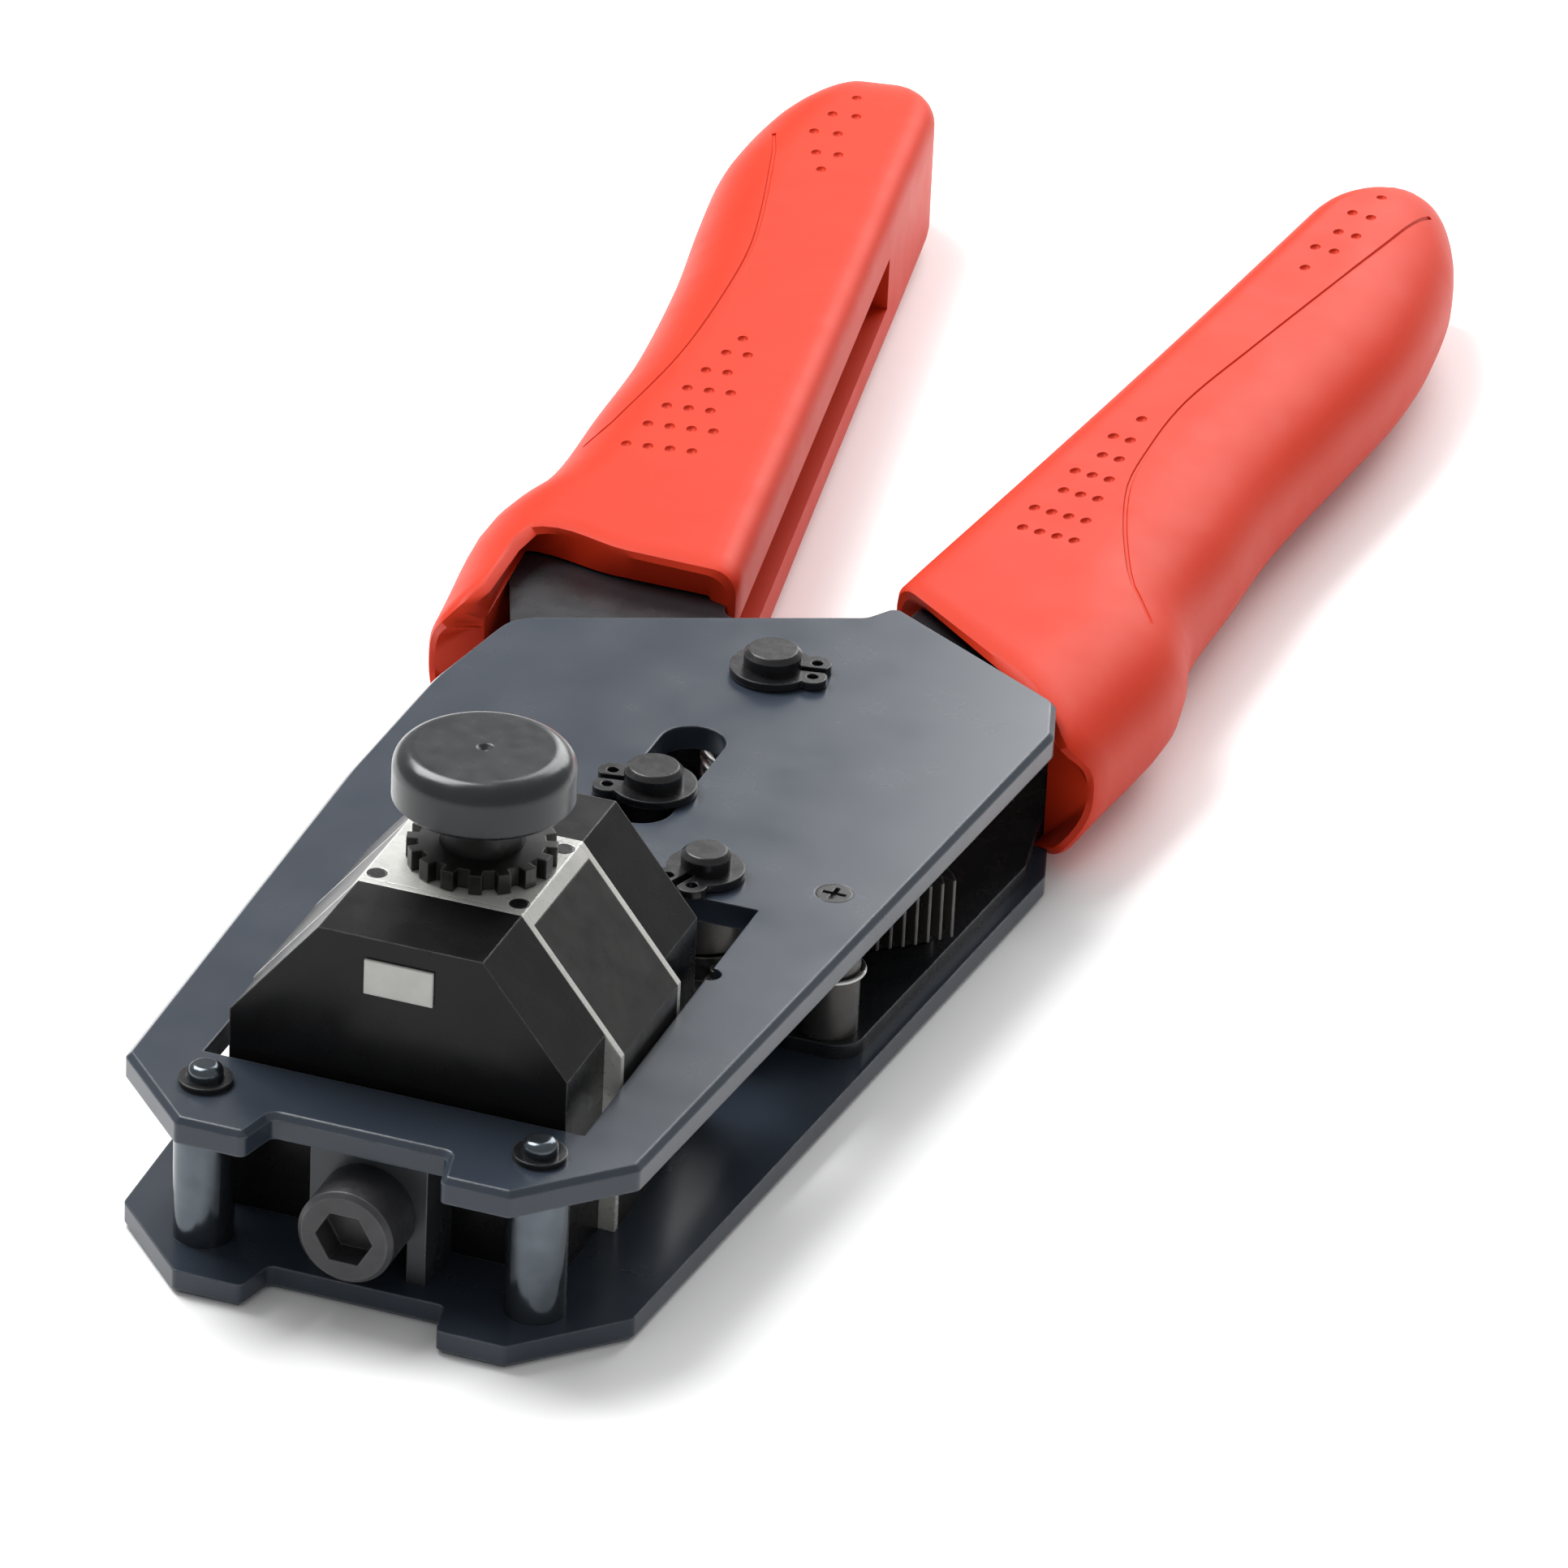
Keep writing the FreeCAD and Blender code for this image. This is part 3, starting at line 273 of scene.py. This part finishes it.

# ---- Mechanism between the plates ----
# The ram, link, rack and pawl are ground tool steel with a thin film of oil, painted dark for the shade
# between the plates, and the springs are drawn wire.
# The two levers are blackened steel channels, and a sintered bronze bush carries the moving one.
# Painted shade: the inner tool-steel parts get a dark base colour for the shade that falls between the
# plates.
inner_steel_and_shade = mottled_metal_painted_edges("tool_steel_painted_shade", (0.055, 0.052, 0.050), (0.22, 0.21, 0.20), 0.30,
                         metallic=0.6, mottle=0.25, mottle_size=5.0, grain=0.2)
coat_nodes(inner_steel_and_shade, ["ram_slide", "punch_holder", "toggle_link", "ratchet_rack", "ratchet_pawl",
                         "pawl_spacers", "rack_rivets", "crank_pin", "punch_pin", "spring_post",
                         "fixed_spring_seat", "moving_spring_seat"])
lever_steel = mottled_metal_painted_edges("blackened_lever", (0.012, 0.013, 0.015), (0.10, 0.11, 0.12), 0.26, mottle=0.2,
                         mottle_size=8.0, grain=0.1, sheen=0.4)
coat_nodes(lever_steel, ["moving_lever", "fixed_lever"])
wire_steel = mottled_metal_painted_edges("drawn_wire", (0.50, 0.50, 0.49), (0.60, 0.60, 0.58), 0.25, metallic=0.9,
                        mottle=0.1, mottle_size=2.0, grain=0.1)
coat_nodes(wire_steel, ["return_spring", "pawl_spring", "detent_spring"])
bush_bronze = mottled_metal_painted_edges("sintered_bronze", (0.42, 0.27, 0.12), (0.55, 0.38, 0.2), 0.4, metallic=0.8,
                         mottle=0.2, mottle_size=1.0, grain=0.4)
coat_nodes(bush_bronze, ["pivot_bush"])


# ---- Grips ----
# Soft red sleeves moulded over the steel levers: a flat inner side with a long slot, a full rounded back,
# a guard that wraps forward round the lever, a fine parting groove and rows of dimples on each face.
red_plastic = bpy.data.materials.new("red_grip_plastic")
red_plastic.use_nodes = True
red_tree = red_plastic.node_tree
red_shader = red_tree.nodes["Principled BSDF"]
red_shader.inputs["Specular IOR Level"].default_value = 0.16
red_where = red_tree.nodes.new("ShaderNodeTexCoord").outputs["Object"]


def red_noise(size, detail):
    node = red_tree.nodes.new("ShaderNodeTexNoise")
    node.inputs["Scale"].default_value = 1.0 / (size * mm)
    node.inputs["Detail"].default_value = detail
    red_tree.links.new(red_where, node.inputs["Vector"])
    return node.outputs["Fac"]


deep_red = (0.48, 0.022, 0.004, 1.0)
light_red = (0.53, 0.030, 0.007, 1.0)
red_patch_size = 18.0
red_gloss_size = 5.0
red_pebble_size = 0.6
red_pebble_height = 0.03
red_shade = red_tree.nodes.new("ShaderNodeMix")
red_shade.data_type = "RGBA"
red_shade.inputs[6].default_value = deep_red
red_shade.inputs[7].default_value = light_red
red_tree.links.new(red_noise(red_patch_size, 3.0), red_shade.inputs[0])
red_tree.links.new(red_shade.outputs[2], red_shader.inputs["Base Color"])
red_gloss = red_tree.nodes.new("ShaderNodeMapRange")
red_gloss.inputs["To Min"].default_value = 0.42
red_gloss.inputs["To Max"].default_value = 0.56
red_tree.links.new(red_noise(red_gloss_size, 4.0), red_gloss.inputs["Value"])
red_tree.links.new(red_gloss.outputs["Result"], red_shader.inputs["Roughness"])
red_bump = red_tree.nodes.new("ShaderNodeBump")
red_bump.inputs["Strength"].default_value = 0.25
red_bump.inputs["Distance"].default_value = red_pebble_height * mm
red_tree.links.new(red_noise(red_pebble_size, 2.0), red_bump.inputs["Height"])
red_tree.links.new(red_bump.outputs["Normal"], red_shader.inputs["Normal"])

grip_half = 9.25
back_edge = 0.7
inner_round = 2.6
waist_thinning = 0.45
waist_start = 5.0
waist_length = 110.0
tip_thin_start = 95.0
tip_thin_length = 40.0
grip_back = ((-21, 31.0), (-12, 30.9), (3, 30.7), (9, 29.4), (15, 27.0), (23, 25.6), (33, 24.7),
             (50, 22.9), (72, 22.4))
pocket_end = 8.0
pocket_side = 0.25
pocket_inner = 3.0
pocket_floor_back = 23.9
pocket_mouth_back = 25.1
pocket_corner = 0.5
mouth_fade_length = 34.0
ring_step = 2.5
cap_rings = 15
cap_ring_turn = 6.1
room_side = 0.1
slot_half = 3.2
slot_end = 87.0
slot_overrun = 40.0
slot_depth = 6.0
slot_middle = 1.0
dimple_size = (0.62, 0.85, 0.6)
dimple_lift = 0.12
groove_radius = 0.3
groove_lift = 0.05
groove_step = 2.5
merge_distance = 0.004
sharp_angle = math.radians(35)


def between(table, x):
    """Value at x on a smooth curve through the table's points."""
    if x <= table[0][0]:
        return table[0][1]
    if x >= table[-1][0]:
        return table[-1][1]
    i = max(k for k in range(len(table) - 1) if table[k][0] <= x)
    (x0, y0), (x1, y1) = table[i], table[i + 1]

    def slope(k):
        a, b = table[max(k - 1, 0)], table[min(k + 1, len(table) - 1)]
        return (b[1] - a[1]) / (b[0] - a[0])

    t = (x - x0) / (x1 - x0)
    span = x1 - x0
    return ((2 * t ** 3 - 3 * t ** 2 + 1) * y0 + (t ** 3 - 2 * t ** 2 + t) * span * slope(i)
            + (3 * t ** 2 - 2 * t ** 3) * y1 + (t ** 3 - t ** 2) * span * slope(i + 1))


def section(v0, v1, half, back_top, back_bottom, back_deep, inner):
    """Points round a cross-section: rounded back at v1, faces at +half and -half, inner side at v0."""
    points = []

    def arc(cv, cz, rv, rz, start, steps):
        for k in range(steps):
            a = math.radians(start + 90.0 * k / steps)
            points.append((cv + rv * math.cos(a), cz + rz * math.sin(a)))

    def line(a, b, steps):
        for k in range(steps):
            points.append((a[0] + (b[0] - a[0]) * k / steps, a[1] + (b[1] - a[1]) * k / steps))

    arc(v1 - back_top, half - back_deep, back_top, back_deep, 0, 12)
    line((v1 - back_top, half), (v0 + inner, half), 12)
    arc(v0 + inner, half - inner, inner, inner, 90, 5)
    line((v0, half - inner), (v0, inner - half), 6)
    arc(v0 + inner, inner - half, inner, inner, 180, 5)
    line((v0 + inner, -half), (v1 - back_bottom, -half), 12)
    arc(v1 - back_bottom, back_deep - half, back_bottom, back_deep, 270, 12)
    line((v1, back_deep - half), (v1, half - back_deep), 2)
    return points


def face_height(v, v1, half, back_width, back_deep):
    """Height of the flat or rounded face at v across the grip."""
    over = max(0.0, v - (v1 - back_width)) / back_width
    return half - back_deep * (1.0 - math.sqrt(max(0.0, 1.0 - over * over)))


def cut(piece, cutter):
    """Takes the cutter's shape out of the piece and throws the cutter away."""
    step = piece.modifiers.new("cut", "BOOLEAN")
    step.operation = "DIFFERENCE"
    step.solver = "EXACT"
    step.object = cutter
    ready = piece.evaluated_get(bpy.context.evaluated_depsgraph_get())
    mesh = bpy.data.meshes.new_from_object(ready)
    piece.modifiers.clear()
    piece.data = mesh
    bpy.data.objects.remove(cutter)


def put(name, mesh, material=None):
    """Makes an object of a finished bmesh."""
    data = bpy.data.meshes.new(name)
    mesh.to_mesh(data)
    mesh.free()
    if material:
        data.materials.append(material)
    made = bpy.data.objects.new(name, data)
    bpy.context.scene.collection.objects.link(made)
    return made


def handle_place(x, y, lean, side):
    """Matrix from handle sizes (across, along, up in millimetres) to the scene."""
    a = math.radians(lean)
    across = Vector((side * math.cos(a), -math.sin(a), 0.0))
    along = Vector((side * math.sin(a), math.cos(a), 0.0))
    axes = Matrix((across, along, Vector((0, 0, 1)))).transposed().to_4x4()
    return Matrix.Translation(at(x, y, 0)) @ axes @ Matrix.Scale(mm, 4)


def grip(name, node, body, place, mouth, lever_half, lever_end, widths, back_end, tip, seams, dimples,
         tip_dimples):
    """One sleeve. widths are how far the back's rounding reaches in on the upper and lower face.
    tip is where the end cap starts, how long it is, how far across its point lies, how quickly the
    inner side, the back and the faces close on it, and how much the sleeve thins towards it."""
    back_top, back_bottom = widths
    back_deep = grip_half - back_edge
    cap_start, cap_length, tip_across, inner_power, back_power, face_power, thinning = tip

    def sizes(u):
        end = max(0.0, min(1.0, (u - cap_start) / cap_length))
        shrink = math.sqrt(max(0.0, 1.0 - end * end))
        v0 = tip_across * (1.0 - shrink ** inner_power)
        v1 = tip_across + (between(grip_back + back_end, u) - tip_across) * shrink ** back_power
        waist = max(0.0, min(1.0, (u - waist_start) / waist_length))
        half = grip_half - waist_thinning * math.sin(math.pi * waist)
        half -= thinning * max(0.0, (u - tip_thin_start) / tip_thin_length)
        return v0, v1, half * shrink ** face_power, shrink

    def ring_points(u, inset=0.0):
        v0, v1, half, shrink = sizes(u)
        return section(v0 + inset, v1 - inset, half - inset, back_top * shrink, back_bottom * shrink,
                       (back_deep - inset) * half / grip_half, inner_round * shrink)

    def leaning_ring(u, fade, inset=0.0):
        """Ring whose points each lie at their own distance along the grip."""
        return [ring_points(u + m * fade, inset)[k] for k, m in enumerate(mouth_shift)]

    mesh = bmesh.new()
    start = bmesh.ops.create_circle(mesh, segments=66, radius=1.0)
    ring = sorted(start["verts"], key=lambda v: math.atan2(v.co.y, v.co.x) % (2 * math.pi))

    def lay(ring, points, u, fade):
        for vert, (v, z), m in zip(ring, points, mouth_shift):
            vert.co = (v, u + m * fade, z)

    def ring_edges(ring):
        return [mesh.edges.get((ring[i], ring[(i + 1) % len(ring)])) for i in range(len(ring))]

    def next_ring(ring):
        ring_set = set(ring)
        made = bmesh.ops.extrude_edge_only(mesh, edges=ring_edges(ring))
        fresh = {}
        for face in {f for e in made["geom"] if isinstance(e, bmesh.types.BMEdge) for f in e.link_faces}:
            for edge in face.edges:
                a, b = edge.verts
                if a in ring_set and b not in ring_set:
                    fresh[a] = b
                if b in ring_set and a not in ring_set:
                    fresh[b] = a
        return [fresh[v] for v in ring]

    front = mouth[0][1]
    first = ring_points(front)
    widest = max(v for v, z in first)
    mouth_shift = [between(mouth, max(0.0, v / widest)) - front for v, z in first]
    corners = [pocket_corner] * 4
    pocket_floor = section(pocket_inner, pocket_floor_back, lever_half + pocket_side, *corners)
    pocket_mouth = section(pocket_inner, pocket_mouth_back, lever_half + pocket_side, *corners)
    rows = [(pocket_floor, pocket_end, 0.0), (pocket_mouth, front + 1.2, 1.0),
            (leaning_ring(front, 1.0, 0.9), front + 0.1, 1.0),
            (leaning_ring(front, 1.0, 0.25), front + 0.35, 1.0),
            (leaning_ring(front, 1.0), front + 1.1, 1.0)]
    u = front + 3.5
    while u < cap_start:
        fade = max(0.0, 1.0 - (u - front) / mouth_fade_length)
        fade = fade * fade * (3 - 2 * fade)
        rows.append((leaning_ring(u, fade), u, fade))
        u += ring_step
    for k in range(cap_rings):
        u = cap_start + cap_length * math.sin(math.radians(cap_ring_turn * k))
        rows.append((ring_points(u), u, 0.0))
    lay(ring, rows[0][0], rows[0][1], rows[0][2])
    bmesh.ops.contextual_create(mesh, geom=[e for e in mesh.edges])
    for points, u, fade in rows[1:]:
        ring = next_ring(ring)
        lay(ring, points, u, fade)
    bmesh.ops.contextual_create(mesh, geom=ring_edges(ring))
    bmesh.ops.transform(mesh, matrix=place, verts=mesh.verts)
    bmesh.ops.recalc_face_normals(mesh, faces=mesh.faces)
    if mesh.calc_volume(signed=True) < 0:
        bmesh.ops.reverse_faces(mesh, faces=mesh.faces)
    piece = put(name, mesh, red_plastic)

    # Room for the lever, and the slot along the inner side.
    room = bmesh.new()
    outline = ((3.1, pocket_end - 1), (23.6, pocket_end - 1), (18.6, 35), (16.6, 60),
               (16.0, lever_end - 14.5), (12.4, lever_end + 0.5), (4.8, lever_end + 0.5),
               (3.1, lever_end - 9))
    face = room.faces.new([room.verts.new((v, u, -lever_half - room_side)) for v, u in outline])
    grown = bmesh.ops.extrude_face_region(room, geom=[face])
    lifted = [g for g in grown["geom"] if isinstance(g, bmesh.types.BMVert)]
    bmesh.ops.translate(room, verts=lifted, vec=(0, 0, 2 * (lever_half + room_side)))
    bmesh.ops.transform(room, matrix=place, verts=room.verts)
    bmesh.ops.recalc_face_normals(room, faces=room.faces)
    cut(piece, put("room", room))
    slot = bmesh.new()
    bmesh.ops.create_cube(slot, size=1.0)
    bmesh.ops.scale(slot, vec=(slot_depth, slot_end + slot_overrun, 2 * slot_half), verts=slot.verts)
    bmesh.ops.translate(slot, vec=(slot_middle, (slot_end - slot_overrun) / 2, 0), verts=slot.verts)
    bmesh.ops.transform(slot, matrix=place, verts=slot.verts)
    bmesh.ops.recalc_face_normals(slot, faces=slot.faces)
    cut(piece, put("slot", slot))

    # Dimples and the parting groove on both faces.
    dents = bmesh.new()
    upper, lower = dimples[0] + tip_dimples[0], dimples[1] + tip_dimples[1]
    for side, width, rows_of in ((1, back_top, upper), (-1, back_bottom, lower)):
        for v, u in rows_of:
            v0, v1, half, shrink = sizes(u)
            z = side * (face_height(v, v1, half, width * shrink, back_deep * half / grip_half) + dimple_lift)
            made = bmesh.ops.create_icosphere(dents, subdivisions=2, radius=1.0)
            bmesh.ops.scale(dents, vec=dimple_size, verts=made["verts"])
            bmesh.ops.translate(dents, vec=(v, u, z), verts=made["verts"])
    bmesh.ops.transform(dents, matrix=place, verts=dents.verts)
    bmesh.ops.recalc_face_normals(dents, faces=dents.faces)
    cut(piece, put("dents", dents))
    for side, width, seam in ((1, back_top, seams[0]), (-1, back_bottom, seams[1])):
        data = bpy.data.curves.new("groove", "CURVE")
        data.dimensions = "3D"
        data.bevel_depth = groove_radius * mm
        data.bevel_resolution = 1
        data.use_fill_caps = True
        spline = data.splines.new("POLY")
        count = int((seam[-1][0] - seam[0][0]) / groove_step)
        spline.points.add(count)
        for k in range(count + 1):
            u = seam[0][0] + (seam[-1][0] - seam[0][0]) * k / count
            v = between(seam, u)
            v0, v1, half, shrink = sizes(u)
            z = side * (face_height(v, v1, half, width * shrink, back_deep * half / grip_half) + groove_lift)
            spline.points[k].co = (place @ Vector((v, u, z))).to_4d()
        groove = bpy.data.objects.new("groove", data)
        bpy.context.scene.collection.objects.link(groove)
        tube = bmesh.new()
        tube.from_mesh(bpy.data.meshes.new_from_object(groove))
        bpy.data.objects.remove(groove)
        bmesh.ops.remove_doubles(tube, verts=tube.verts, dist=merge_distance * mm)
        cut(piece, put("tube", tube))
    tidy = bmesh.new()
    tidy.from_mesh(piece.data)
    bmesh.ops.remove_doubles(tidy, verts=tidy.verts, dist=merge_distance * mm)
    bmesh.ops.dissolve_degenerate(tidy, edges=tidy.edges, dist=merge_distance * mm)
    tidy.to_mesh(piece.data)
    tidy.free()
    for polygon in piece.data.polygons:
        polygon.use_smooth = True
    piece.data.set_sharp_from_angle(angle=sharp_angle)
    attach(piece, body)
    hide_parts(node)


def dimple_rows(rows, shifts, spacing):
    """Rows of dimples: (along, how many), starting at alternate distances from the inner side."""
    found = []
    for k, (u, count) in enumerate(rows):
        for j in range(count):
            found.append((shifts[k % 2] + spacing * j, u))
    return found


left_dimples = dimple_rows(((20.5, 4), (26, 4), (31, 3), (36, 3), (41, 2), (46, 2), (50, 1)),
                           (10.3, 9.0), 2.4)
right_dimples = dimple_rows(((17, 4), (22, 4), (27.5, 3), (32.5, 3), (37.6, 2), (42.5, 2), (48, 1)),
                            (6.2, 5.3), 2.0)
left_tip = [(9.5, 117.5), (8.6, 112), (11.4, 112), (9.8, 106.6), (12.6, 106.6), (8.7, 100.8),
            (11.3, 100.8), (9.9, 96.3)]
right_tip = [(6.3, 115.4), (5.3, 109), (7.6, 109), (5.9, 103.5), (8.1, 103.5), (5.2, 98.5), (7.5, 98.5),
             (6.3, 92.9)]
left_seam = ((22, 22.5), (27.5, 20.1), (43.9, 16.3), (62.6, 14.3), (76.6, 13.9), (99.9, 16.1),
             (106, 17.2))
right_seam = ((7.1, 25.7), (13.4, 20.4), (30.6, 12.3), (42.8, 9.8), (54.9, 8.7), (71.2, 9.5),
              (102.4, 11.5), (118, 11.5))
left_mouth = ((0.0, -7.0), (0.4, -4.6), (0.78, -2.2), (0.82, -13.5), (0.86, -17.0), (0.94, -19.6),
              (1.0, -17.0))
right_mouth = ((0.0, -1.5), (0.4, -9.2), (0.82, -17.4), (0.93, -20.2), (1.0, -18.0))
left_back_end = ((90, 23.0), (102, 23.0), (112, 21.5), (121, 19.2), (134, 15.5))
right_back_end = ((86, 22.0), (96, 20.9), (106, 18.9), (114, 16.8), (126, 13.5))
grip("left_grip_sleeve", "moving_grip", "moving_handle", handle_place(-8.8, 134.0, 9.5, -1), left_mouth,
     5.2, 120.0, (8.5, 11.5), left_back_end, (115.5, 16.2, 12.6, 1.3, 0.85, 0.7, 0.6),
     (left_seam, right_seam[:-1]), (left_dimples, right_dimples), (left_tip, right_tip))
grip("right_grip_sleeve", "fixed_grip", "frame", handle_place(7.9, 134.0, 6.1, 1), right_mouth, 6.95,
     106.0, (11.5, 8.5), right_back_end, (109.0, 17.0, 8.8, 1.4, 0.9, 0.55, 0.0),
     (right_seam, left_seam), (right_dimples, left_dimples), (right_tip, left_tip))

# ---- Springs ----
# The return spring is a coil round the pivot bush with a long leg along each handle. The pawl spring is a
# small tension coil. Both are drawn wire.
spring_merge_distance = 0.001


def spring_between(name, node):
    """A copy of the CAD spring, welded and shaded smooth, in place of the CAD node."""
    mesh = bmesh.new()
    mesh.from_mesh(nodes[node].data)
    bmesh.ops.remove_doubles(mesh, verts=mesh.verts, dist=spring_merge_distance * mm)
    piece = put(name, mesh, wire_steel)
    piece.data.shade_smooth()
    piece.data.set_sharp_from_angle(angle=sharp_angle)
    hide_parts(node)
    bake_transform(piece)


spring_between("return_spring_wire", "return_spring")
spring_between("pawl_spring_wire", "pawl_spring")
